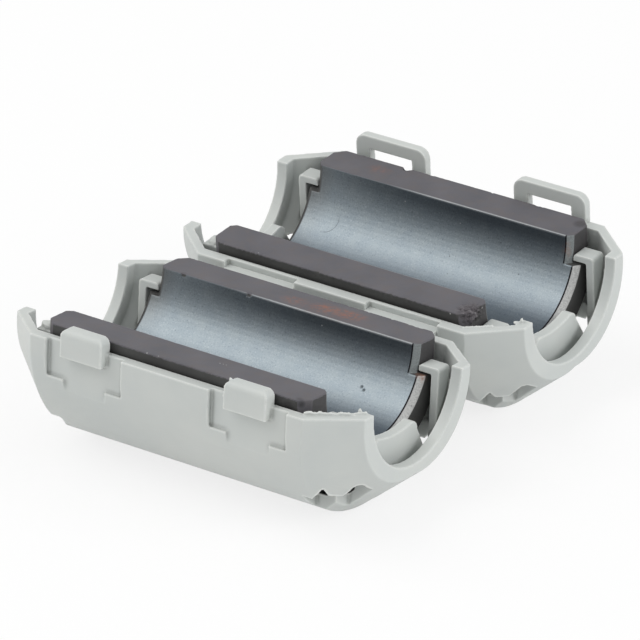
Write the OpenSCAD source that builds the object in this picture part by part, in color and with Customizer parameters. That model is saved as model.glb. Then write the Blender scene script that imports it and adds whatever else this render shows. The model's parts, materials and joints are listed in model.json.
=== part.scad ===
// Clip-on ferrite core for a round cable. Two half-round ferrite cores sit in the two
// halves of a plastic case. The case lies open on its rounded backs, with its hinge in
// the middle. One long side carries two hooks, and the other two loops that clip over them.
//
// A half is drawn in its own frame: X along the cable, the hinge on its +Y side, the latch
// on its -Y side, and the origin on the bore's axis, level with the mating face.

/* [Ferrite core] */
// Diameter of the cable bore
bore_d = 13; // [9:0.5:18]
// Thickness of the ferrite round the bore
core_wall = 3.45; // [2.8:0.05:5]
// Length of the mating face
face_l = 27; // [22:0.5:40]
// Length of the ledge past each end of the mating face
ledge_l = 0.9; // [0.7:0.05:1.5]
// Drop from the mating face to the ledge
ledge_drop = 2.55; // [2.3:0.05:3.5]
// Chamfer on the outer corners of the mating face
outer_chamfer = 0.85; // [0.3:0.05:1.2]
// Chamfer round the bore at the ends of the mating face
inner_chamfer = 0.5; // [0.3:0.05:1]
// Chamfer round the bore at the ends of the core
bore_chamfer = 0.5; // [0.2:0.05:0.8]

/* [Case] */
// Thickness of the case's wall
wall = 1.1; // [0.9:0.05:1.6]
// Gap between a core and the walls beside it
side_gap = 0.15; // [0.05:0.05:0.3]
// Gap below a core that is pressed right in
floor_gap = 0.05; // [0.05:0.05:0.3]
// Height of a loose core above the rim
core_proud = 0.92; // [0.6:0.02:1.4]
// Depth of a mating face below the rim when it is pressed in
face_sink = 0.03; // [0.02:0.01:0.1]
// Width of the flat along the back
floor_flat = 3; // [1:0.5:5]
// Room between a core and the end of the case
end_room = 3.6; // [3.4:0.1:5]
// Clearance of the mouths round the cable bore
mouth_play = 0.05; // [0.05:0.05:0.5]
// Width of the flat ring round a mouth
ring_w = 1.3; // [1:0.1:1.8]
// Slope of the tapered ends, measured from the cable
taper = 40; // [34:1:46]
// Thickness of the wall along the tapered ends
taper_t = 0.85; // [0.8:0.05:1.3]
// Distance of the tapers' axes to either side of the bore
taper_side = 1; // [0.5:0.1:1.5]
// Distance of the tapers' axes below the rim
taper_drop = 0.7; // [0.5:0.1:1.5]

/* [Core clips and cable grips] */
// Width of a clip that holds the core down
clip_w = 1.7; // [1.2:0.1:2]
// Thickness of a clip's post
clip_t = 0.8; // [0.7:0.05:1.2]
// Height of a clip's nose
nose_h = 0.65; // [0.5:0.05:1.1]
// Gap between a clip's post and the core's end
clip_gap = 0.5; // [0.3:0.05:0.8]
// Gap between a clip's nose and the core
nose_gap = 0.2; // [0.1:0.05:0.3]
// Thickness of a cable grip
grip_t = 1; // [0.7:0.05:1.3]
// Width of a cable grip at its tip
grip_w = 6.6; // [6:0.2:8.4]
// Width of a cable grip at its root
grip_root_w = 8.8; // [8:0.2:10.4]
// Rounding of a cable grip's shoulders
shoulder_r = 0.9; // [0.3:0.1:1.2]
// Gap between a cable grip and the core's end
grip_gap = 0.6; // [0.4:0.05:1]
// Reach of a cable grip into the bore's outline, pressed down by the largest cable
grip_bite = 0.05; // [0:0.01:0.08]

/* [Latch] */
// Distance from an end of the mating face to the middle of a hook
latch_inset = 5.05; // [4:0.05:7]
// Width of a hook
hook_w = 4.3; // [3:0.1:5]
// Thickness of a hook
hook_t = 1.3; // [1:0.05:1.5]
// Height of a hook above the rim
hook_h = 1.45; // [0.9:0.01:1.6]
// Drop from the rim to the catch under a hook
catch_drop = 1.1; // [0.9:0.05:1.3]
// Reach of a hook past the outside of the case
hook_reach = 0.4; // [0.3:0.05:0.7]
// Rounding of a hook's top corners
hook_round = 0.6; // [0.3:0.05:0.8]
// Width of a loop's legs
leg_w = 1.5; // [1.2:0.05:2.2]
// Height of the bar across a loop
bar_h = 1.25; // [0.9:0.05:1.5]
// Thickness of a loop
loop_t = 0.85; // [0.7:0.05:1.2]
// Rounding of a loop's top corners
loop_round = 1; // [0.5:0.1:1.2]
// Gap between a loop and what it clips round
latch_play = 0.12; // [0.1:0.01:0.2]
// Depth of the recess that the loop lies in
recess = 0.5; // [0.3:0.05:0.6]

/* [Hinge] */
// Distance from an end of the mating face to the middle of a strap
strap_inset = 6.05; // [5:0.05:7]
// Width of a strap
strap_w = 7.4; // [5:0.1:9]
// Thickness of a strap
strap_t = 0.35; // [0.25:0.05:0.5]
// Drop from the rim to the top of a strap
strap_drop = 0.6; // [0.5:0.05:1]
// Height of the root that ties a strap to the wall
root_h = 1.6; // [1:0.1:2]
// Depth of the seats that the straps' roots fill
seat_depth = 0.7; // [0.4:0.05:0.75]
// Gap between the two halves of the case along the hinge
hinge_gap = 1.65; // [1:0.05:2]
// Gap between the two rims when the case is shut
rim_gap = 0.05; // [0.02:0.01:0.1]
// Angle by which the open case falls short of flat
rest_angle = 8.7; // [2:0.1:20]

/* [Hidden] */
$fn = 96;
over = 1;                 // how far a cut runs past the face it opens
CASE_GREY = [0.74, 0.75, 0.74];
FERRITE = [0.24, 0.24, 0.26];

// The core
bore_r = bore_d / 2;
core_r = bore_r + core_wall;
core_l = face_l + 2 * ledge_l;

// The case, outside and inside
rim_z = -core_proud;
half_w = core_r + side_gap + wall;
depth = core_r + face_sink + floor_gap + wall;
corner_r = half_w - floor_flat / 2;
corner_z = corner_r - depth;
end_x = core_l / 2 + end_room;
mouth_r = bore_r + mouth_play;
ring_r = mouth_r + ring_w;
taper_r = ring_r - taper_side;
girth_r = half_w + depth;

// Radius of a core's end, held off the taper inside the case by the side gap
taper_in_r = taper_r + end_room * tan(taper) - taper_t / cos(taper);
core_end_r = taper_drop + sqrt(pow(taper_in_r, 2) - pow(taper_side, 2)) - side_gap;

// What stands in the ends
slot_gap = 0.2;           // air between a clip and the slot beside it
slot_round = 0.7;         // rounding of a slot's outer corner
slot_end = 0.8;           // how far a slot runs on past the grip
clip_x = core_l / 2 + clip_gap;
clip_y = bore_r + slot_gap / 2;
nose_x = face_l / 2 + nose_gap / 2;
nose_under_z = nose_gap - ledge_drop;
nose_z = nose_under_z + nose_h;
grip_x = core_l / 2 + grip_gap;

// The latch
latch_pitch = face_l - 2 * latch_inset;
loop_y = half_w - recess + latch_play;
window_w = hook_w + 2 * latch_play;
loop_w = window_w + 2 * leg_w;
bar_z = catch_drop + latch_play;
leg_room = 0.9;           // how far a loop's legs run on below the rim, past the length of its window and bar
recess_drop = bar_z + bar_h + leg_room;
finger_drop = 1.2;        // how far the release recess runs on below a hook

// The hinge
strap_pitch = face_l - 2 * strap_inset;
pivot_y = half_w + hinge_gap / 2;
pivot_z = rim_z + rim_gap / 2;
tilt = rest_angle / 2;
arc_y = pivot_y - floor_flat / 2;
arc_z = rim_z + corner_z - pivot_z;
lift = corner_r - arc_y * sin(tilt) - arc_z * cos(tilt);

// A flat shape drawn in Y and Z, extruded along X and centred on it
module along_x(length) {
    rotate([90, 0, 90]) linear_extrude(length, center = true) children();
}

// A shape turned round the X axis, drawn as radius against distance along X
module round_x() {
    rotate([0, 90, 0]) rotate_extrude() children();
}

// Both ends and both sides
module each_corner() {
    for (sx = [0, 1], sy = [0, 1]) mirror([sx, 0, 0]) mirror([0, sy, 0]) children();
}

// From a half's own frame to where the open case lies
module lay_open() {
    translate([0, 0, lift]) rotate([-tilt, 0, 0]) translate([0, -pivot_y, -pivot_z]) children();
}

module lay_lid() {
    rotate([0, 0, 180]) lay_open() children();
}

// Cross-section of a half, measured from the rim, with its outline moved in by inset
module section(inset, top) {
    r = corner_r - inset;
    intersection() {
        union() {
            for (s = [-1, 1]) translate([s * floor_flat / 2, corner_z]) circle(r);
            translate([-half_w + inset, corner_z]) square([2 * (half_w - inset), top - corner_z]);
            translate([-floor_flat / 2, inset - depth]) square([floor_flat, depth]);
        }
        translate([-girth_r, -girth_r]) square([2 * girth_r, girth_r + top]);
    }
}

// Length with tapered ends for the half at +Y, measured from the rim: inset moves its ends in, and
// its tapers in step
module barrel(inset) {
    x1 = end_x - inset;
    r1 = taper_r + inset * tan(taper) - inset * taper_t / wall / cos(taper);
    x2 = x1 - (girth_r - r1) / tan(taper);
    translate([0, taper_side, -taper_drop]) round_x()
        polygon([[0, -x1], [r1, -x1], [girth_r, -x2], [girth_r, x2], [r1, x1], [0, x1]]);
}

// A half's solid form, measured from the rim: each side of the section inside its own barrel
module form(inset, top) {
    for (s = [0, 1]) mirror([0, s, 0]) intersection() {
        along_x(2 * end_x + 2 * over) intersection() {
            section(inset, top);
            translate([0, -2 * girth_r]) square([2 * girth_r, 4 * girth_r]);
        }
        barrel(inset);
    }
}

// Post and nose that hold a core down by its ledge
module clip() {
    nose_l = clip_x + clip_t - nose_x;
    round_r = nose_h / 2;
    translate([0, clip_y + clip_w, 0]) rotate([90, 0, 0]) linear_extrude(clip_w) {
        translate([clip_x, -depth]) square([clip_t, depth + nose_z - round_r]);
        translate([nose_x, nose_under_z]) square([nose_l, nose_h - round_r]);
        translate([nose_x + round_r, nose_z - 2 * round_r]) square([nose_l - 2 * round_r, 2 * round_r]);
        for (x = [nose_x + round_r, clip_x + clip_t - round_r])
            translate([x, nose_z - round_r]) circle(round_r, $fn = 32);
    }
}

// Grip that steadies the cable: a plate with a hollow top edge and round shoulders
module grip() {
    hollow_r = bore_r - grip_bite;
    tip_y = grip_w / 2;
    tip_z = -sqrt(pow(hollow_r, 2) - pow(tip_y, 2));
    root_z = -ring_r;
    low_z = rim_z - depth;
    translate([grip_x, 0, 0]) rotate([90, 0, 90]) linear_extrude(grip_t) difference() {
        union() {
            polygon([[-tip_y, tip_z - shoulder_r], [tip_y, tip_z - shoulder_r], [grip_root_w / 2, root_z],
                [grip_root_w / 2, low_z], [-grip_root_w / 2, low_z], [-grip_root_w / 2, root_z]]);
            translate([shoulder_r - tip_y, tip_z - shoulder_r - over])
                square([2 * (tip_y - shoulder_r), shoulder_r + over]);
            for (s = [-1, 1]) translate([s * (tip_y - shoulder_r), tip_z - shoulder_r])
                circle(shoulder_r, $fn = 48);
        }
        circle(hollow_r);
    }
}

// Slot through the tapered end, beside a grip and under a clip's nose, as it is seen from above
module slot() {
    inner_x = face_l / 2 - ledge_l;
    mid_x = clip_x - 2 * slot_gap;
    outer_x = grip_x + grip_t + slot_end;
    near_y = grip_root_w / 2;
    mid_y = bore_r - slot_gap;
    far_y = clip_y + clip_w + slot_gap / 2;
    translate([0, 0, rim_z - depth - over]) linear_extrude(depth - mouth_r + over) {
        translate([inner_x, mid_y]) square([mid_x - inner_x, far_y - mid_y]);
        polygon([[mid_x, mid_y], [mid_x, far_y - clip_w / 2], [grip_x + slot_gap, mid_y]]);
        translate([mid_x, near_y]) square([outer_x - slot_round - mid_x, mid_y - near_y]);
        translate([mid_x, near_y]) square([outer_x - mid_x, mid_y - slot_round - near_y]);
        translate([outer_x - slot_round, mid_y - slot_round]) circle(slot_round, $fn = 48);
    }
}

// Half of the case without its latch
module case_half() {
    difference() {
        union() {
            difference() {
                translate([0, 0, rim_z]) {
                    difference() {
                        form(0, 0);
                        form(wall, over);
                    }
                }
                translate([0, 0, rim_z]) rotate([0, 90, 0]) cylinder(h = 2 * end_x + 2 * over, r = mouth_r, center = true);
                each_corner() slot();
            }
            intersection() {
                union() {
                    each_corner() clip();
                    for (sx = [0, 1]) mirror([sx, 0, 0]) grip();
                }
                translate([0, 0, rim_z]) form(wall / 2, over);
            }
        }
        for (s = [-1, 1]) translate([s * strap_pitch / 2 - strap_w / 2, half_w - seat_depth, strap_low_z()])
            cube([strap_w, seat_depth + over, depth]);
    }
}

function strap_low_z() = rim_z - strap_drop - root_h;

// Hook over which a loop clips
module hook() {
    top_z = rim_z + hook_h;
    low_z = rim_z - catch_drop;
    front_y = -half_w - hook_reach;
    intersection() {
        translate([0, front_y + hook_t, 0]) rotate([90, 0, 0]) linear_extrude(hook_t) {
            translate([-hook_w / 2, low_z]) square([hook_w, top_z - hook_round - low_z]);
            translate([-hook_w / 2 + hook_round, low_z]) square([hook_w - 2 * hook_round, top_z - low_z]);
            for (s = [-1, 1]) translate([s * (hook_w / 2 - hook_round), top_z - hook_round])
                circle(hook_round, $fn = 48);
        }
        along_x(hook_w + 2 * over) {
            translate([front_y, low_z]) square([hook_t, top_z - hook_round - low_z]);
            translate([front_y + hook_round, low_z]) square([hook_t - hook_round, top_z - low_z]);
            translate([front_y + hook_round, top_z - hook_round]) circle(hook_round, $fn = 48);
        }
    }
}

// Recess in the base's side for a loop, with a release recess below it
module loop_recess() {
    w = loop_w + 2 * latch_play;
    translate([-w / 2, -half_w - over, rim_z - recess_drop]) cube([w, recess + over, recess_drop + over]);
    translate([-hook_w / 2, -half_w - over, rim_z - recess_drop - finger_drop])
        cube([hook_w, recess + over, recess_drop]);
}

// Loop: two legs down the outside of the case and a bar across their tops
module loop() {
    top_z = rim_z + bar_z + bar_h;
    translate([0, -loop_y, 0]) rotate([90, 0, 0]) linear_extrude(loop_t) difference() {
        union() {
            translate([-loop_w / 2, rim_z - recess_drop]) square([loop_w, top_z - loop_round - rim_z + recess_drop]);
            translate([-loop_w / 2 + loop_round, top_z - 2 * loop_round])
                square([loop_w - 2 * loop_round, 2 * loop_round]);
            for (s = [-1, 1]) translate([s * (loop_w / 2 - loop_round), top_z - loop_round])
                circle(loop_round, $fn = 48);
        }
        translate([-window_w / 2, rim_z - recess_drop - over]) square([window_w, recess_drop + over + bar_z]);
    }
}

// Notch in the lid's rim that the tip of a hook goes into
module hook_notch() {
    notch_h = hook_h + latch_play;
    translate([-window_w / 2, -half_w - over, rim_z - notch_h]) cube([window_w, wall + 2 * over, notch_h + over]);
}

module each_latch() {
    for (s = [-1, 1]) translate([s * latch_pitch / 2, 0, 0]) children();
}

// Half of the core's outside from a given depth down, with its ends chamfered to end_r
module core_body(length, end_r, top_z) {
    x1 = length / 2;
    x2 = x1 - (core_r - end_r) / tan(taper);
    intersection() {
        round_x() polygon([[0, -x1], [end_r, -x1], [core_r, -x2], [core_r, x2], [end_r, x1], [0, x1]]);
        translate([-length, -2 * core_r, top_z - 2 * core_r]) cube([2 * length, 4 * core_r, 2 * core_r]);
    }
}

// Cone that chamfers both ends of a bore of the given length
module bore_chamfers(length, size) {
    for (sx = [0, 1]) mirror([sx, 0, 0]) translate([length / 2 - size, 0, 0]) rotate([0, 90, 0])
        cylinder(h = size + over, r1 = bore_r, r2 = bore_r + size + over);
}

// Half-round ferrite core: a full-length body with a shorter block on it that has the mating face
module core() {
    difference() {
        union() {
            difference() {
                core_body(core_l, core_end_r, -ledge_drop);
                bore_chamfers(core_l, bore_chamfer);
            }
            difference() {
                intersection() {
                    core_body(face_l, core_r, 0);
                    translate([0, 0, -ledge_drop]) linear_extrude(ledge_drop) face_plan();
                }
                bore_chamfers(face_l, inner_chamfer);
            }
        }
        rotate([0, 90, 0]) cylinder(h = core_l + 2 * over, r = bore_r, center = true);
    }
}

// Mating face seen from above, with its outer corners chamfered
module face_plan() {
    x = face_l / 2;
    side_y = core_r - outer_chamfer;
    far_x = x - outer_chamfer - over;
    far_y = core_r + over;
    polygon([[x, side_y], [far_x, far_y], [-far_x, far_y], [-x, side_y],
        [-x, -side_y], [-far_x, -far_y], [far_x, -far_y], [x, -side_y]]);
}

module case_base() {
    color(CASE_GREY) lay_open() {
        difference() {
            case_half();
            each_latch() loop_recess();
        }
        each_latch() hook();
    }
}

module case_lid() {
    color(CASE_GREY) lay_lid() {
        difference() {
            case_half();
            each_latch() hook_notch();
        }
        each_latch() loop();
    }
}

module core_base() {
    color(FERRITE) lay_open() core();
}

module core_lid() {
    color(FERRITE) lay_lid() core();
}

// One side of a strap: its root in the seat and its web as far as the fold
module strap_side(x) {
    translate([x - strap_w / 2, half_w - seat_depth, strap_low_z()]) {
        cube([strap_w, seat_depth, root_h]);
        translate([0, 0, root_h - strap_t]) cube([strap_w, seat_depth + hinge_gap / 2 + strap_t, strap_t]);
    }
}

module strap(x) {
    color(CASE_GREY) {
        lay_open() strap_side(x);
        lay_lid() strap_side(-x);
    }
}

module hinge_strap_left() {
    strap(-strap_pitch / 2);
}

module hinge_strap_right() {
    strap(strap_pitch / 2);
}

case_base();
case_lid();
core_base();
core_lid();
hinge_strap_left();
hinge_strap_right();
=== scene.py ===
"""Looks for the clip-on ferrite bead: rounded mouldings, worn ferrite, studio floor and light.

Sizes below are in millimetres and are turned into metres where an object is made. Places on the
object are given in a half's own frame, which comes from the frame's mounts and its hinge.
"""
import json
import math
import random

import bmesh
import bpy
import numpy as np
from mathutils import Matrix, Vector, noise

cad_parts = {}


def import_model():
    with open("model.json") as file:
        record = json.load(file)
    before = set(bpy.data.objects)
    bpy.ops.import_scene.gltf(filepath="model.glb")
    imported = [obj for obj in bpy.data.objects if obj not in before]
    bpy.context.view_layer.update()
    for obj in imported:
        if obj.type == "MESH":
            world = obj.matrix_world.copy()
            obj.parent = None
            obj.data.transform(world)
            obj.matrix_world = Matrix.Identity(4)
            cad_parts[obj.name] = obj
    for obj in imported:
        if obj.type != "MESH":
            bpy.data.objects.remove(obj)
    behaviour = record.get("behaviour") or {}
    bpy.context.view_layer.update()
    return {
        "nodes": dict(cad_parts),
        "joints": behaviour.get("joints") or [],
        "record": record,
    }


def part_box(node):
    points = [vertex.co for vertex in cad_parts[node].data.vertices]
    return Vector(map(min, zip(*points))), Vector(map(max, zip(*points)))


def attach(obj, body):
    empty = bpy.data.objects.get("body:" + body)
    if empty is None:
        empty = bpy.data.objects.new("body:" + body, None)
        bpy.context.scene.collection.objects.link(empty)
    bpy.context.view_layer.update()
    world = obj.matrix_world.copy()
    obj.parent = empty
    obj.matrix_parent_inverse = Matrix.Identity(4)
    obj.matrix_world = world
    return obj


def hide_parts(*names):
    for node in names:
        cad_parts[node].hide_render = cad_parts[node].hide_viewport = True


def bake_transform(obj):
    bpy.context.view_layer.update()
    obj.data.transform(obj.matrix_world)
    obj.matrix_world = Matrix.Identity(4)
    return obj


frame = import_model()

MM = 0.001
JOINTS = {j["name"]: j for j in frame["joints"]}
REST_TILT = -math.radians(JOINTS["lid_hinge"]["range_deg"][0]) / 2
MOUNTS = {m["name"]: m for m in frame["record"]["mounts"]}

# The shapes of the CAD part that the details below are set out from
CORE_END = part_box("core_base")[1][0] / MM   # half a core's length
FACE_END = CORE_END - 0.9                   # half the length of a mating face
FACE_EDGE = 9.95                            # outer edge of a mating face, from the bore's axis
BORE_R = 6.5
BORE_CHAMFER = 0.5                          # at the core's ends
OUTER_CHAMFER = 0.85                        # at a mating face's outer corners
INNER_CHAMFER = 0.5                         # at a mating face's ends, next to the bore
LEDGE_Z = -2.55                             # the ledge past a mating face's end
RIM_Z = -0.92                               # the case's rim
GRIP_X = CORE_END + 0.6                     # inner side of a cable grip
GRIP_T = 1.0                                # its thickness

VOXEL = 0.08
CORE_VOXEL = 0.07
STRAP_VOXEL = 0.06
KEEP, STRAP_KEEP = 0.3, 0.6                 # share of the softened mesh's faces that is kept


# ---------------------------------------------------------------- places
class Half:
    """One half's own frame, in millimetres: X along the cable, the latch on -Y, z = 0 at the mating face."""

    def __init__(self, side, mount):
        self.origin = Vector(MOUNTS[mount]["pos_m"]) / MM
        self.rotation = Matrix.Rotation(-REST_TILT, 4, "X")
        if side == "lid":
            self.rotation = Matrix.Rotation(math.pi, 4, "Z") @ self.rotation

    @property
    def matrix(self):
        """From the half's own frame to the row frame, both in millimetres."""
        return Matrix.Translation(self.origin) @ self.rotation


BASE = Half("base", "cable_seat_base")
LID = Half("lid", "cable_seat_lid")


# ---------------------------------------------------------------- meshes
def mesh_of(node):
    """A CAD node's mesh with its split corners joined again, in millimetres."""
    bm = bmesh.new()
    bm.from_mesh(frame["nodes"][node].data)
    bmesh.ops.scale(bm, vec=(1 / MM,) * 3, verts=bm.verts)
    bmesh.ops.remove_doubles(bm, verts=bm.verts, dist=0.0005)
    return bm


def new_object(name, bm):
    mesh = bpy.data.meshes.new(name)
    bm.to_mesh(mesh)
    bm.free()
    obj = bpy.data.objects.new(name, mesh)
    bpy.context.scene.collection.objects.link(obj)
    return obj


def bake_modifiers(obj):
    """The modifiers' result becomes the object's own mesh."""
    graph = bpy.context.evaluated_depsgraph_get()
    made = bpy.data.meshes.new_from_object(obj.evaluated_get(graph))
    old = obj.data
    obj.modifiers.clear()
    obj.data = made
    bpy.data.meshes.remove(old)


def soften(obj, voxel):
    """Rounds every edge a little, as a moulding or a ground part has it: fine voxels, then smoothed."""
    remesh = obj.modifiers.new("voxels", "REMESH")
    remesh.mode = "VOXEL"
    remesh.voxel_size = voxel
    remesh.use_smooth_shade = True
    smooth = obj.modifiers.new("smooth", "SMOOTH")
    smooth.factor = 0.5
    smooth.iterations = 1
    bake_modifiers(obj)


def thin_out(obj, keep):
    thin = obj.modifiers.new("thin", "DECIMATE")
    thin.ratio = keep
    bake_modifiers(obj)


def to_metres(obj):
    obj.data.transform(Matrix.Scale(MM, 4))
    for face in obj.data.polygons:
        face.use_smooth = True


# ---------------------------------------------------------------- details added before softening
def lump(bm, half, place, size, seed):
    """A torn bit of flash: a small uneven blob that the softening melts into the wall it sits on."""
    rng = random.Random(seed)
    shift = Vector((rng.random(), rng.random(), rng.random())) * 40
    for v in bmesh.ops.create_icosphere(bm, subdivisions=2, radius=1.0)["verts"]:
        v.co *= 1 + 0.35 * noise.noise(v.co * 1.4 + shift)
        v.co = half.matrix @ (Vector(place) + Vector([a * b for a, b in zip(v.co, size)]))


def relaxed_grip(bm, half, side):
    """A cable grip as it stands with no cable in the bore: its tip springs up into the cable's way."""
    # half widths of the tip and the root, radii of the shoulders and the hollow, rise above the bore's floor
    tip, root, shoulder, hollow, rise = 3.3, 4.4, 0.9, 9.0, 1.2
    root_z, low_z = -7.8, -8.3
    corner = tip - shoulder
    hollow_z = rise - BORE_R + hollow

    def hollow_at(y):
        return hollow_z - math.sqrt(hollow ** 2 - y ** 2)

    turn = [math.radians(a) for a in range(0, 91, 10)]
    right = [(corner + shoulder * math.cos(a), hollow_at(corner) - shoulder + shoulder * math.sin(a)) for a in turn]
    middle = [(corner * (1 - i / 6), hollow_at(corner * (1 - i / 6))) for i in range(1, 12)]
    outline = [(root, low_z), (root, root_z)] + right + middle
    outline += [(-y, z) for y, z in reversed([(root, low_z), (root, root_z)] + right)]
    ends = [[bm.verts.new(half.matrix @ Vector((side * (GRIP_X + step), y, z))) for y, z in outline]
            for step in (0.0, GRIP_T)]
    count = len(outline)
    made = [bm.faces.new(ends[0]), bm.faces.new(ends[1])]
    for i in range(count):
        j = (i + 1) % count
        made.append(bm.faces.new((ends[0][i], ends[0][j], ends[1][j], ends[1][i])))
    bmesh.ops.recalc_face_normals(bm, faces=made)


# ---------------------------------------------------------------- wear cut into a softened mesh
def ragged(t, step, seed):
    """Uneven heights from 0 to 1 along a line: seeded values every step, joined by straight lines."""
    rng = np.random.default_rng(seed)
    first = -40.0
    values = rng.random(int(80 / step) + 2)
    return np.interp(t, first + step * np.arange(len(values)), values)


class Shape:
    """A mesh's points and normals in a half's own frame, to be moved together."""

    def __init__(self, obj, half):
        self.obj = obj
        self.turn = np.array(half.matrix)
        self.back = np.linalg.inv(self.turn)
        self.points = self.read("co") @ self.back[:3, :3].T + self.back[:3, 3]
        self.normals = self.read("normal") @ self.back[:3, :3].T

    def read(self, name):
        flat = np.empty(len(self.obj.data.vertices) * 3)
        self.obj.data.vertices.foreach_get(name, flat)
        return flat.reshape(-1, 3)

    def write(self):
        co = self.points @ self.turn[:3, :3].T + self.turn[:3, 3]
        self.obj.data.vertices.foreach_set("co", co.ravel())
        self.obj.data.update()

    def chip_edge(self, y, inward, depth, reach, seed, bare):
        """Small breaks along a mating face's edge at y: deep where the ragged line is above bare.

        inward is the breaks' direction in Y and Z.
        """
        away = np.hypot(self.points[:, 1] - y, self.points[:, 2])
        near = away < reach
        x = self.points[near, 0]
        bite = np.clip((ragged(x, 0.9, seed) * 0.6 + ragged(x, 0.22, seed + 1) * 0.4 - bare) / (1 - bare), 0, 1)
        bite = bite * depth * (1 - away[near] / reach) ** 1.5
        self.points[near] += bite[:, None] * np.array((0.0, *inward)) / math.hypot(*inward)

    def pit(self, place, radius, depth):
        away = np.linalg.norm(self.points - np.array(place), axis=1)
        near = away < radius
        fall = (1 - (away[near] / radius) ** 2) ** 2
        self.points[near] -= self.normals[near] * (depth * fall)[:, None]

    def crumble(self, place, radius, depth, grain, seed):
        """A corner that has broken away in crumbs."""
        away = np.linalg.norm(self.points - np.array(place), axis=1)
        shift = Vector((seed * 3.1, seed * 1.7, seed * 2.3))
        for i in np.nonzero(away < radius)[0]:
            rough = noise.noise(Vector(self.points[i]) / grain + shift) * 0.7
            rough += noise.noise(Vector(self.points[i]) / (grain * 0.4) + shift) * 0.4
            self.points[i] -= self.normals[i] * depth * max(0.0, rough + 0.15) * (1 - away[i] / radius) ** 0.6


# ---------------------------------------------------------------- materials
class Nodes:
    """Short names for building a shader. A value is a number, a colour or another node's output."""

    def __init__(self, name):
        self.material = bpy.data.materials.new(name)
        self.material.use_nodes = True
        self.tree = self.material.node_tree
        self.shader = self.tree.nodes["Principled BSDF"]
        self.place = self.add("ShaderNodeTexCoord").outputs["Object"]

    def add(self, kind, inputs=None, **settings):
        node = self.tree.nodes.new(kind)
        for key, value in settings.items():
            setattr(node, key, value)
        for key, value in (inputs or {}).items():
            self.put(node.inputs[key], value)
        return node

    def put(self, socket, value):
        if isinstance(value, bpy.types.NodeSocket):
            self.tree.links.new(value, socket)
        else:
            socket.default_value = value

    def in_half(self, half):
        """The place in millimetres in a half's own frame."""
        back = half.rotation.inverted()
        node = self.add("ShaderNodeMapping", {"Vector": self.place, "Scale": (1 / MM,) * 3,
                                              "Rotation": back.to_euler("XYZ"),
                                              "Location": -(back @ half.origin)})
        return node.outputs["Vector"]

    def noise(self, scale, detail, rough=0.5, at=None):
        node = self.add("ShaderNodeTexNoise", {"Vector": at or self.place, "Scale": scale, "Detail": detail,
                                               "Roughness": rough})
        return node.outputs["Fac"]

    def math(self, operation, a, b=None):
        node = self.add("ShaderNodeMath", {0: a}, operation=operation)
        if b is not None:
            self.put(node.inputs[1], b)
        return node.outputs[0]

    def range(self, value, low, high, to_low=0.0, to_high=1.0):
        return self.add("ShaderNodeMapRange", {"Value": value, "From Min": low, "From Max": high,
                                               "To Min": to_low, "To Max": to_high}).outputs["Result"]

    def all_of(self, *masks):
        out = masks[0]
        for mask in masks[1:]:
            out = self.math("MULTIPLY", out, mask)
        return out

    def any_of(self, *masks):
        out = masks[0]
        for mask in masks[1:]:
            out = self.math("MAXIMUM", out, mask)
        return out

    def close_to(self, value, middle, gone, full):
        """1 where the value is within full of the middle, 0 from gone on."""
        return self.range(self.math("ABSOLUTE", self.math("SUBTRACT", value, middle)), gone, full)

    def away(self, at, place):
        return self.add("ShaderNodeVectorMath", {0: at, 1: place}, operation="DISTANCE").outputs["Value"]

    def oval(self, at, place, size, soft=0.3):
        """1 inside an oval round place, fading out to 0 at its size; soft is where the fading starts."""
        apart = self.add("ShaderNodeVectorMath", {0: at, 1: place}, operation="SUBTRACT").outputs["Vector"]
        apart = self.add("ShaderNodeVectorMath", {0: apart, 1: size}, operation="DIVIDE").outputs["Vector"]
        length = self.add("ShaderNodeVectorMath", {0: apart}, operation="LENGTH").outputs["Value"]
        return self.range(length, 1.0, soft)

    def mix(self, fac, a, b):
        node = self.add("ShaderNodeMix", data_type="RGBA")
        self.put(node.inputs["Factor"], fac)
        self.put(node.inputs[6], a)
        self.put(node.inputs[7], b)
        return node.outputs[2]

    def bump(self, height, strength, distance):
        node = self.add("ShaderNodeBump", {"Height": height, "Strength": strength, "Distance": distance})
        self.put(self.shader.inputs["Normal"], node.outputs["Normal"])


def srgb(r, g, b):
    """A colour given as it is seen, 0 to 255, as the shader's linear colour."""
    seen = (r / 255, g / 255, b / 255)
    return tuple(c / 12.92 if c <= 0.04045 else ((c + 0.055) / 1.055) ** 2.4 for c in seen) + (1,)


# Case plastic: two tones that it drifts between, then painted shade in its corners and a painted highlight on its
# thin edges
PLASTIC_TONES = srgb(195, 199, 197), srgb(201, 204, 201)
PLASTIC_CORNER_SHADE, PLASTIC_EDGE_HIGHLIGHT = srgb(112, 114, 109), srgb(224, 226, 223)

# Ferrite, by kind of surface. A pair is two tones that it drifts between.
DARK = srgb(64, 63, 63), srgb(76, 76, 75)                   # outsides, as fired
GROUND = srgb(89, 89, 95), srgb(101, 99, 104)               # mating faces
GROUND_WARM, GROUND_GRAIN = srgb(103, 95, 92), srgb(114, 111, 114)
FIRED = srgb(139, 149, 156), srgb(147, 156, 161)            # bore
FIRED_LIGHT, FIRED_DARK = srgb(182, 190, 195), srgb(92, 99, 106)
# painted shade at the bore's upper edges, a painted dark reflection low in the bore, then a stain
FIRED_TOP_SHADE, FIRED_REFLECTION_SHADE, FIRED_STAIN = srgb(46, 48, 53), srgb(62, 72, 84), srgb(92, 84, 74)
# the two chamfer colours below are used only on the right ends, where the light falls: painted highlight
LIT_END_BAND = srgb(172, 172, 172), srgb(208, 208, 206)             # chamfer at the bore's end
LIT_BLOCK_BAND = srgb(114, 119, 120), srgb(138, 143, 144)       # chamfer at a mating face's end
BLOCK_END = srgb(70, 69, 70)
# a painted highlight along the bore's long edges, then dark outlines
BORE_EDGE_HIGHLIGHT, OUTLINE = srgb(172, 174, 176), srgb(38, 36, 40)
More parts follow.
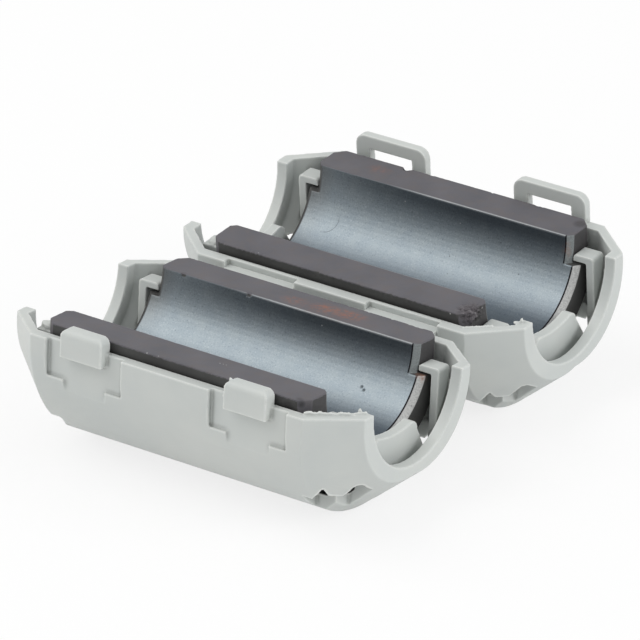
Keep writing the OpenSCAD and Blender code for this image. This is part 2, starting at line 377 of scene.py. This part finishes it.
# rust, painted shade for the dark patches, scratches
RUST, PATCH_SHADE, SCRATCH = srgb(158, 98, 70), srgb(40, 38, 40), srgb(60, 64, 68)
CRUMB, CRUMB_DEEP = (srgb(88, 84, 88), srgb(124, 120, 123)), srgb(64, 60, 62)
PIT, DUST = srgb(46, 46, 50), srgb(176, 175, 176)
SPECK = 0.62                                                # share of its listed radius that a pit or grain shows


def plastic():
    """Light grey moulded plastic: satin, a little uneven, with a fine eroded grain."""
    n = Nodes("case_plastic")
    broad = n.noise(160, 3)
    fine = n.noise(7000, 3, 0.6)
    # painted shade, with a little dirt, in the corners, and a painted highlight on the thin edges
    corner = n.add("ShaderNodeAmbientOcclusion", {"Distance": 0.45 * MM}, samples=8, only_local=True)
    edge = n.add("ShaderNodeAmbientOcclusion", {"Distance": 0.22 * MM}, samples=8, only_local=True, inside=True)
    tone = n.mix(n.range(broad, 0.35, 0.65), *PLASTIC_TONES)
    tone = n.mix(n.range(corner.outputs["AO"], 0.95, 0.62, 0.0, 0.75), tone, PLASTIC_CORNER_SHADE)
    tone = n.mix(n.range(edge.outputs["AO"], 0.95, 0.68, 0.0, 0.8), tone, PLASTIC_EDGE_HIGHLIGHT)
    n.put(n.shader.inputs["Base Color"], tone)
    n.put(n.shader.inputs["Roughness"], n.range(fine, 0.3, 0.7, 0.42, 0.54))
    n.shader.inputs["IOR"].default_value = 1.5
    n.shader.inputs["Subsurface Weight"].default_value = 0.1
    n.shader.inputs["Subsurface Radius"].default_value = (1, 0.95, 0.85)
    n.shader.inputs["Subsurface Scale"].default_value = 0.5 * MM
    n.bump(fine, 0.15, 0.02 * MM)
    return n.material


class Surfaces:
    """Where each kind of surface is on a core: masks from 0 to 1, by place in the half's own frame."""

    def __init__(self, n, at, half):
        x, y, z = n.add("ShaderNodeSeparateXYZ", {0: at}).outputs
        ax, ay = n.math("ABSOLUTE", x), n.math("ABSOLUTE", y)
        radius = n.math("SQRT", n.math("ADD", n.math("MULTIPLY", y, y), n.math("MULTIPLY", z, z)))
        bore_end = CORE_END - BORE_CHAMFER
        face_end = FACE_END - INNER_CHAMFER
        corner = FACE_END + FACE_EDGE - OUTER_CHAMFER
        strip = n.range(z, LEDGE_Z, LEDGE_Z + 0.05)                # above the ledge
        by_bore = n.range(radius, BORE_R + 0.14, BORE_R + 0.09)    # the bore's own surface

        # the same way in both halves: along is row X, back is towards row +Y
        way = half.rotation[0][0]
        self.z = z
        self.along = n.math("MULTIPLY", x, way)
        self.back = n.math("MULTIPLY", y, way)
        self.right = n.range(self.along, -0.5, 0.5)

        wobble = n.range(n.noise(3.5, 3, 0.6, at=at), 0.3, 0.7, -0.06, 0.06)
        self.face = n.range(n.math("ADD", z, wobble), -0.14, -0.1)

        # the bore's surface runs a little over its long edges, more so to the right
        worn = n.range(self.along, -5.0, -1.5, 0.02, 0.08)
        inside = n.range(n.math("SUBTRACT", n.math("SUBTRACT", radius, BORE_R), worn), 0.02, -0.02)
        self.bore = n.all_of(inside, n.range(ax, bore_end + 0.02, bore_end - 0.02))
        # a pale line along the bore's long edges, from the middle to the right: painted highlight
        self.edge_highlight = n.all_of(by_bore, n.range(z, -0.22, -0.13), n.range(self.along, -6.0, -1.0))

        # chamfers at the ends of the bore and of the mating faces
        rise = n.math("SUBTRACT", n.math("SUBTRACT", ax, bore_end), n.math("SUBTRACT", radius, BORE_R))
        self.end_band = n.all_of(n.range(rise, -0.1, -0.06), n.range(ax, bore_end, bore_end + 0.03))
        self.block_band = n.all_of(
            n.range(n.math("ADD", rise, bore_end - face_end), -0.08, -0.04),
            strip, n.range(z, 0.0, -0.05), n.range(ax, face_end, face_end + 0.03),
            n.range(radius, BORE_R + INNER_CHAMFER + 0.06, BORE_R + INNER_CHAMFER + 0.02))
        self.block_end = n.all_of(n.range(ax, FACE_END - 0.1, FACE_END - 0.04), strip)
        block_corner = n.all_of(n.range(n.math("ADD", ax, ay), corner - 0.1, corner - 0.05), strip)
        # the outer corner chamfers are ground, except at the back right end, which keeps the dark colour as painted
        # shade
        back_right = n.math("MULTIPLY", self.right, self.back)
        self.bare_corner_shaded = n.math("MULTIPLY", block_corner, n.range(back_right, 0.5, 2.0, 1.0, 0.25))

        # thin dark outlines where a chamfer meets the faces beside it
        self.outline = n.any_of(
            n.all_of(n.close_to(ax, bore_end - 0.03, 0.09, 0.05), by_bore, n.range(z, LEDGE_Z + 0.1, LEDGE_Z - 0.1)),
            n.all_of(n.close_to(ax, face_end - 0.03, 0.08, 0.04), by_bore, strip))


def ferrite_tones(n, at, where, grain):
    """The colour of a clean core, with painted shade, reflection and highlights on its bore and chamfers."""
    broad = n.noise(0.25, 3, at=at)
    cloud = n.noise(0.8, 4, 0.6, at=at)

    dark = n.mix(n.range(broad, 0.3, 0.7), *DARK)
    ground = n.mix(n.range(broad, 0.3, 0.7), *GROUND)
    ground = n.mix(n.range(n.noise(0.9, 3, 0.6, at=at), 0.45, 0.7, 0.0, 0.4), ground, GROUND_WARM)
    ground = n.mix(n.range(grain, 0.4, 0.75, 0.0, 0.3), ground, GROUND_GRAIN)

    fired = n.mix(n.range(cloud, 0.35, 0.7), *FIRED)
    fired = n.mix(n.range(grain, 0.55, 0.75, 0.0, 0.6), fired, FIRED_LIGHT)
    fired = n.mix(n.range(grain, 0.42, 0.28, 0.0, 0.6), fired, FIRED_DARK)
    # painted shade towards its upper edges, a painted darker, bluer reflection low in front of its back wall,
    # stained at its left end
    high = n.math("MULTIPLY", n.range(where.z, -3.4, -0.8), n.range(where.along, -9, 3, 0.42, 0.68))
    fired = n.mix(high, fired, FIRED_TOP_SHADE)
    fired = n.mix(n.range(where.back, 4.2, 1.9, 0.0, 0.6), fired, FIRED_REFLECTION_SHADE)
    left = n.math("MULTIPLY", n.range(where.along, -11.5, -13.6), n.range(where.z, -5.2, -2.5, 0.12, 0.45))
    fired = n.mix(left, fired, FIRED_STAIN)

    colour = n.mix(where.block_end, dark, BLOCK_END)
    colour = n.mix(n.any_of(where.face, where.bare_corner_shaded), colour, ground)
    colour = n.mix(where.bore, colour, fired)
    # painted highlight along the bore's long edges
    colour = n.mix(n.math("MULTIPLY", where.edge_highlight, 0.6), colour, BORE_EDGE_HIGHLIGHT)
    # the chamfers at the ends are lighter only on the right: painted highlight
    colour = n.mix(n.all_of(where.block_band, where.right), colour, n.mix(n.range(grain, 0.3, 0.7), *LIT_BLOCK_BAND))
    colour = n.mix(n.all_of(where.end_band, where.right), colour, n.mix(n.range(grain, 0.3, 0.7), *LIT_END_BAND))
    return n.mix(n.all_of(where.outline, n.range(where.right, 0, 1, 0.3, 1)), colour, OUTLINE)


def ferrite_marks(n, at, colour, rust=(), smudges=(), crumbs=(), scratches=(), dust=(), pits=()):
    """Marks over a clean colour, placed in the half's own frame.

    rust, and dark patches of painted shade: (place, half sizes, strength). crumbs: (place, half sizes). dust and
    pits: (place, radius). scratches: (centre, radius, place, reach), the part of a ring round the
    centre that is within reach of the place.
    """
    blotch = n.range(n.noise(2.2, 3, 0.7, at=at), 0.38, 0.62)
    for place, size, strength in rust:
        share = n.math("MULTIPLY", n.all_of(n.oval(at, place, size), blotch), strength)
        colour = n.mix(share, colour, RUST)
    crumb = n.noise(2.6, 3, 0.65, at=at)
    for place, size in crumbs:
        broken = n.mix(n.range(crumb, 0.5, 0.68), *CRUMB)
        broken = n.mix(n.range(crumb, 0.42, 0.34), broken, CRUMB_DEEP)
        colour = n.mix(n.oval(at, place, size, 0.6), colour, broken)
    # dark patches near the right ends' outer corners: painted shade
    for place, size, strength in smudges:
        share = n.all_of(n.oval(at, place, size, 0.5), n.range(crumb, 0.3, 0.5, 0.6, 1.0))
        colour = n.mix(n.math("MULTIPLY", share, strength), colour, PATCH_SHADE)
    for centre, radius, place, reach in scratches:
        line = n.close_to(n.away(at, centre), radius, 0.06, 0.02)
        colour = n.mix(n.all_of(line, n.range(n.away(at, place), reach, reach * 0.7), 0.45), colour, SCRATCH)
    for place, radius in pits:
        colour = n.mix(n.math("MULTIPLY", n.oval(at, place, (radius * SPECK,) * 3), 0.8), colour, PIT)
    for place, radius in dust:
        colour = n.mix(n.oval(at, place, (radius * SPECK,) * 3, 0.4), colour, DUST)
    return colour


def ferrite(name, half, **marks):
    """Fired ferrite: dull purplish ground faces, a smooth metallic grey bore, dark as-fired outsides."""
    n = Nodes(name)
    at = n.in_half(half)
    grain = n.noise(7, 2, 0.7, at=at)
    where = Surfaces(n, at, half)
    clean = ferrite_tones(n, at, where, grain)
    n.put(n.shader.inputs["Base Color"], ferrite_marks(n, at, clean, **marks))
    n.put(n.shader.inputs["Metallic"], n.math("MULTIPLY", where.bore, 0.92))
    rough, smooth = n.range(grain, 0.3, 0.7, 0.48, 0.62), n.range(grain, 0.3, 0.7, 0.45, 0.53)
    roughness = n.add("ShaderNodeMix", {"Factor": where.bore, 2: rough, 3: smooth}, data_type="FLOAT")
    n.put(n.shader.inputs["Roughness"], roughness.outputs[0])
    n.shader.inputs["Specular IOR Level"].default_value = 0.35
    n.shader.inputs["Specular Tint"].default_value = (0.7, 0.7, 0.7, 1)
    n.bump(grain, 0.12, 0.03 * MM)
    return n.material


PLASTIC = plastic()
FERRITE_BASE = ferrite(
    "ferrite_base", BASE,
    rust=[((-0.2, 7.9, 0), (1.6, 1.0, 0.6), 0.3), ((2.9, 8.2, 0), (1.6, 1.2, 0.6), 0.5),
          ((5.2, 8.3, 0), (2.2, 1.1, 0.6), 0.55), ((14.1, 6.4, -2.7), (0.7, 0.6, 0.6), 0.7),
          ((3.5, 7.6, 0), (5.5, 1.6, 0.6), 0.16)],
    # dark patches below the front strip's right end: painted shade
    smudges=[((12.6, -9.6, -0.35), (0.6, 0.45, 0.5), 0.75), ((11.8, -9.95, -0.7), (0.7, 0.3, 0.5), 0.5)],
    dust=[((3.73, 6.44, -0.84), 0.13), ((-2.76, -9.92, -0.04), 0.14), ((-1.61, -9.87, 0), 0.1),
          ((3.18, -7.74, 0), 0.12), ((3.5, -7.72, 0), 0.1), ((3.8, -7.7, 0), 0.1), ((-4.2, 6.5, -0.35), 0.1)],
    pits=[((9.23, 4.74, -4.44), 0.085), ((9.55, 4.6, -4.6), 0.06), ((14.24, 4.85, -4.82), 0.12),
          ((-10.9, 6.5, -0.12), 0.24), ((-4.0, 6.5, -0.1), 0.2)])
FERRITE_LID = ferrite(
    "ferrite_lid", LID,
    rust=[((8, -8.4, 0), (1.5, 0.9, 0.6), 0.22), ((-13.0, -6.6, -1.5), (0.5, 0.6, 1.2), 0.3)],
    # a dark patch at the back strip's right corner: painted shade
    smudges=[((-12.9, -9.0, 0), (0.8, 0.8, 0.6), 0.45)],
    crumbs=[((-13.1, 8.9, -0.3), (1.5, 1.2, 0.9))],
    scratches=[((11.57, -4.89, -4.29), 1.31, (10.5, -4.4, -4.78), 1.3)],
    dust=[((3.93, -6.39, -1.16), 0.14), ((-2.0, -6.28, -1.68), 0.11), ((8.44, 9.71, 0), 0.12),
          ((2.26, 9.93, -0.03), 0.14), ((-11.79, 9.93, -0.2), 0.14), ((-13.45, 7.54, -0.3), 0.15),
          ((-12.9, 8.4, -0.05), 0.1)],
    pits=[((-1.75, -4.81, -4.37), 0.13), ((-8.94, -4.94, -4.23), 0.13), ((-2.29, -3.59, -5.42), 0.1),
          ((-6.41, -6.07, -2.32), 0.12), ((-14.29, -4.75, -4.99), 0.1)])


def give(obj, material):
    obj.data.materials.clear()
    obj.data.materials.append(material)


# ---------------------------------------------------------------- pieces
def finish_piece(piece, node, material):
    to_metres(piece)
    give(piece, material)
    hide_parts(node)
    return piece


def dress_case(node, body, half, lumps):
    bm = mesh_of(node)
    for side in (-1, 1):
        relaxed_grip(bm, half, side)
    for seed, (place, size) in enumerate(lumps):
        lump(bm, half, place, size, seed)
    piece = new_object(node + "_finish", bm)
    soften(piece, VOXEL)
    thin_out(piece, KEEP)
    finish_piece(piece, node, PLASTIC)
    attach(piece, body)


def dress_core(node, body, half, material, wear):
    piece = new_object(node + "_finish", mesh_of(node))
    soften(piece, CORE_VOXEL)
    shape = Shape(piece, half)
    wear(shape)
    shape.write()
    thin_out(piece, KEEP)
    finish_piece(piece, node, material)
    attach(piece, body)


def wear_base_core(shape):
    shape.chip_edge(-FACE_EDGE, (1, -1), depth=0.12, reach=0.3, seed=11, bare=0.6)
    shape.chip_edge(FACE_EDGE, (-1, -1), depth=0.12, reach=0.3, seed=15, bare=0.6)
    shape.chip_edge(BORE_R, (1, -1), depth=0.05, reach=0.16, seed=21, bare=0.62)
    shape.chip_edge(-BORE_R, (-1, -1), depth=0.05, reach=0.16, seed=25, bare=0.62)
    for place, radius, depth in (((-10.9, 6.5, -0.05), 0.32, 0.2), ((-4.0, 6.5, -0.05), 0.35, 0.2),
                                 ((9.23, 4.74, -4.44), 0.18, 0.1), ((9.55, 4.6, -4.6), 0.16, 0.1)):
        shape.pit(place, radius, depth)


def wear_lid_core(shape):
    shape.chip_edge(FACE_EDGE, (-1, -1), depth=0.26, reach=0.5, seed=31, bare=0.35)
    shape.chip_edge(-FACE_EDGE, (1, -1), depth=0.1, reach=0.3, seed=35, bare=0.6)
    shape.chip_edge(BORE_R, (1, -1), depth=0.05, reach=0.16, seed=42, bare=0.62)
    shape.chip_edge(-BORE_R, (-1, -1), depth=0.05, reach=0.16, seed=40, bare=0.62)
    shape.pit((6.0, -9.9, 0.0), radius=0.55, depth=0.35)
    shape.crumble((-13.2, 8.6, -0.1), radius=1.5, depth=0.5, grain=0.35, seed=2)


def dress_strap(node):
    """A hinge strap between the two halves, softened and left on neither half; the real one bends round the hinge's
    axis.
    """
    piece = new_object(node + "_finish", mesh_of(node))
    soften(piece, STRAP_VOXEL)
    thin_out(piece, STRAP_KEEP)
    finish_piece(piece, node, PLASTIC)
    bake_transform(piece)


def fin(start, end, height, seed, step=0.16):
    """A ragged fin of flash along a rim: lumps close enough to melt into one."""
    rng = random.Random(seed)
    start, end = Vector(start), Vector(end)
    count = int((end - start).length / step)
    tall = [rng.random() for _ in range(count + 4)]
    return [(tuple(start.lerp(end, i / count)), (0.17, 0.13, height * (0.35 + 0.65 * sum(tall[i:i + 3]) / 3)))
            for i in range(count + 1)]


# (place, half sizes) in the half's own frame. A lump's seed is its number in the list.
BASE_LUMPS = [
    # flash along the latch side's rim near the right end, with a spike
    *fin((13.6, -10.25, RIM_Z), (16.4, -7.95, RIM_Z), 0.42, 5),
    *fin((16.4, -7.9, RIM_Z), (17.3, -6.75, RIM_Z), 0.3, 6),
    ((16.75, -6.85, RIM_Z + 0.08), (0.17, 0.15, 0.34)),
    # bits on the hooks' upper and lower edges
    ((6.55, -10.95, 0.5), (0.16, 0.12, 0.2)), ((9.9, -10.95, 0.5), (0.4, 0.1, 0.09)),
    ((6.35, -11.5, -0.85), (0.2, 0.12, 0.12)), ((-10.4, -11.5, -0.85), (0.2, 0.1, 0.1)),
    # the rounded head beside the core's left end
    ((-14.6, -7.45, -1.55), (0.95, 0.75, 0.5)),
]
LID_LUMPS = [
    # flash along the hinge side's rim near the right end, with a spike
    *fin((-13.4, 10.4, RIM_Z), (-15.4, 8.95, RIM_Z), 0.3, 7),
    ((-17.15, 7.0, RIM_Z + 0.08), (0.15, 0.15, 0.36)), ((-16.8, 7.3, RIM_Z), (0.3, 0.25, 0.14)),
    # the rounded head beside the core's left end
    ((14.55, 7.4, -1.65), (0.95, 0.75, 0.45)),
]
dress_case("case_base", "base", BASE, BASE_LUMPS)
dress_case("case_lid", "lid", LID, LID_LUMPS)
dress_core("core_base", "base_core", BASE, FERRITE_BASE, wear_base_core)
dress_core("core_lid", "lid_core", LID, FERRITE_LID, wear_lid_core)
dress_strap("hinge_strap_left")
dress_strap("hinge_strap_right")


# ---------------------------------------------------------------- floor, light and camera
def seen_rays(tree):
    """1 for the rays that show a thing: to the camera, in a reflection, or through glass."""
    path = tree.nodes.new("ShaderNodeLightPath")
    out = path.outputs["Is Camera Ray"]
    for name in ("Is Glossy Ray", "Is Transmission Ray"):
        both = tree.nodes.new("ShaderNodeMath")
        both.operation = "MAXIMUM"
        tree.links.new(out, both.inputs[0])
        tree.links.new(path.outputs[name], both.inputs[1])
        out = both.outputs[0]
    return out


FLOOR_WHITE = 0.8    # this share of the floor is plain white where it is seen, and the rest shows the shadow


def floor():
    bm = bmesh.new()
    bmesh.ops.create_grid(bm, x_segments=1, y_segments=1, size=2.0)
    obj = new_object("floor", bm)
    n = Nodes("floor")
    n.put(n.shader.inputs["Base Color"], (0.92, 0.92, 0.92, 1))
    n.shader.inputs["Roughness"].default_value = 0.9
    n.shader.inputs["Specular IOR Level"].default_value = 0.1
    white = n.add("ShaderNodeEmission", {"Color": (1, 1, 1, 1), "Strength": 1.0})
    share = n.math("MULTIPLY", seen_rays(n.tree), FLOOR_WHITE)
    both = n.add("ShaderNodeMixShader", {0: share, 1: n.shader.outputs["BSDF"], 2: white.outputs["Emission"]})
    n.tree.links.new(both.outputs["Shader"], n.tree.nodes["Material Output"].inputs["Surface"])
    give(obj, n.material)
    obj.location.z = -0.00002    # just clear of the undersides


def area_light(name, place, size, watts, colour):
    """A square softbox, aimed at the object's middle."""
    data = bpy.data.lights.new(name, "AREA")
    data.shape = "SQUARE"
    data.size = size
    data.energy = watts
    data.color = colour
    obj = bpy.data.objects.new(name, data)
    bpy.context.scene.collection.objects.link(obj)
    obj.location = place
    obj.rotation_mode = "QUATERNION"
    obj.rotation_quaternion = (Vector((0, 0, 0.006)) - Vector(place)).to_track_quat("-Z", "Y")


def world():
    w = bpy.data.worlds.new("studio")
    bpy.context.scene.world = w
    w.use_nodes = True
    tree = w.node_tree
    tree.nodes["Background"].inputs["Color"].default_value = (0.985, 1, 1, 1)
    tree.nodes["Background"].inputs["Strength"].default_value = 0.63


def camera():
    """A long lens, above and in front of the right-hand end."""
    data = bpy.data.cameras.new("camera")
    data.lens = 329.0
    data.sensor_width = 36
    data.clip_start, data.clip_end = 0.01, 10
    obj = bpy.data.objects.new("camera", data)
    bpy.context.scene.collection.objects.link(obj)
    obj.location = (0.25917, -0.37403, 0.22755)
    obj.rotation_euler = [math.radians(a) for a in (64.256, -0.212, 34.855)]
    bpy.context.scene.camera = obj


floor()
area_light("softbox", (-0.36, -0.2, 0.5), 0.55, 1.97, (1.0, 0.985, 0.965))
area_light("side", (0.6, 0.15, 0.32), 0.4, 1.6, (1, 1, 1))
world()
camera()
bpy.context.scene.view_settings.view_transform = "Standard"
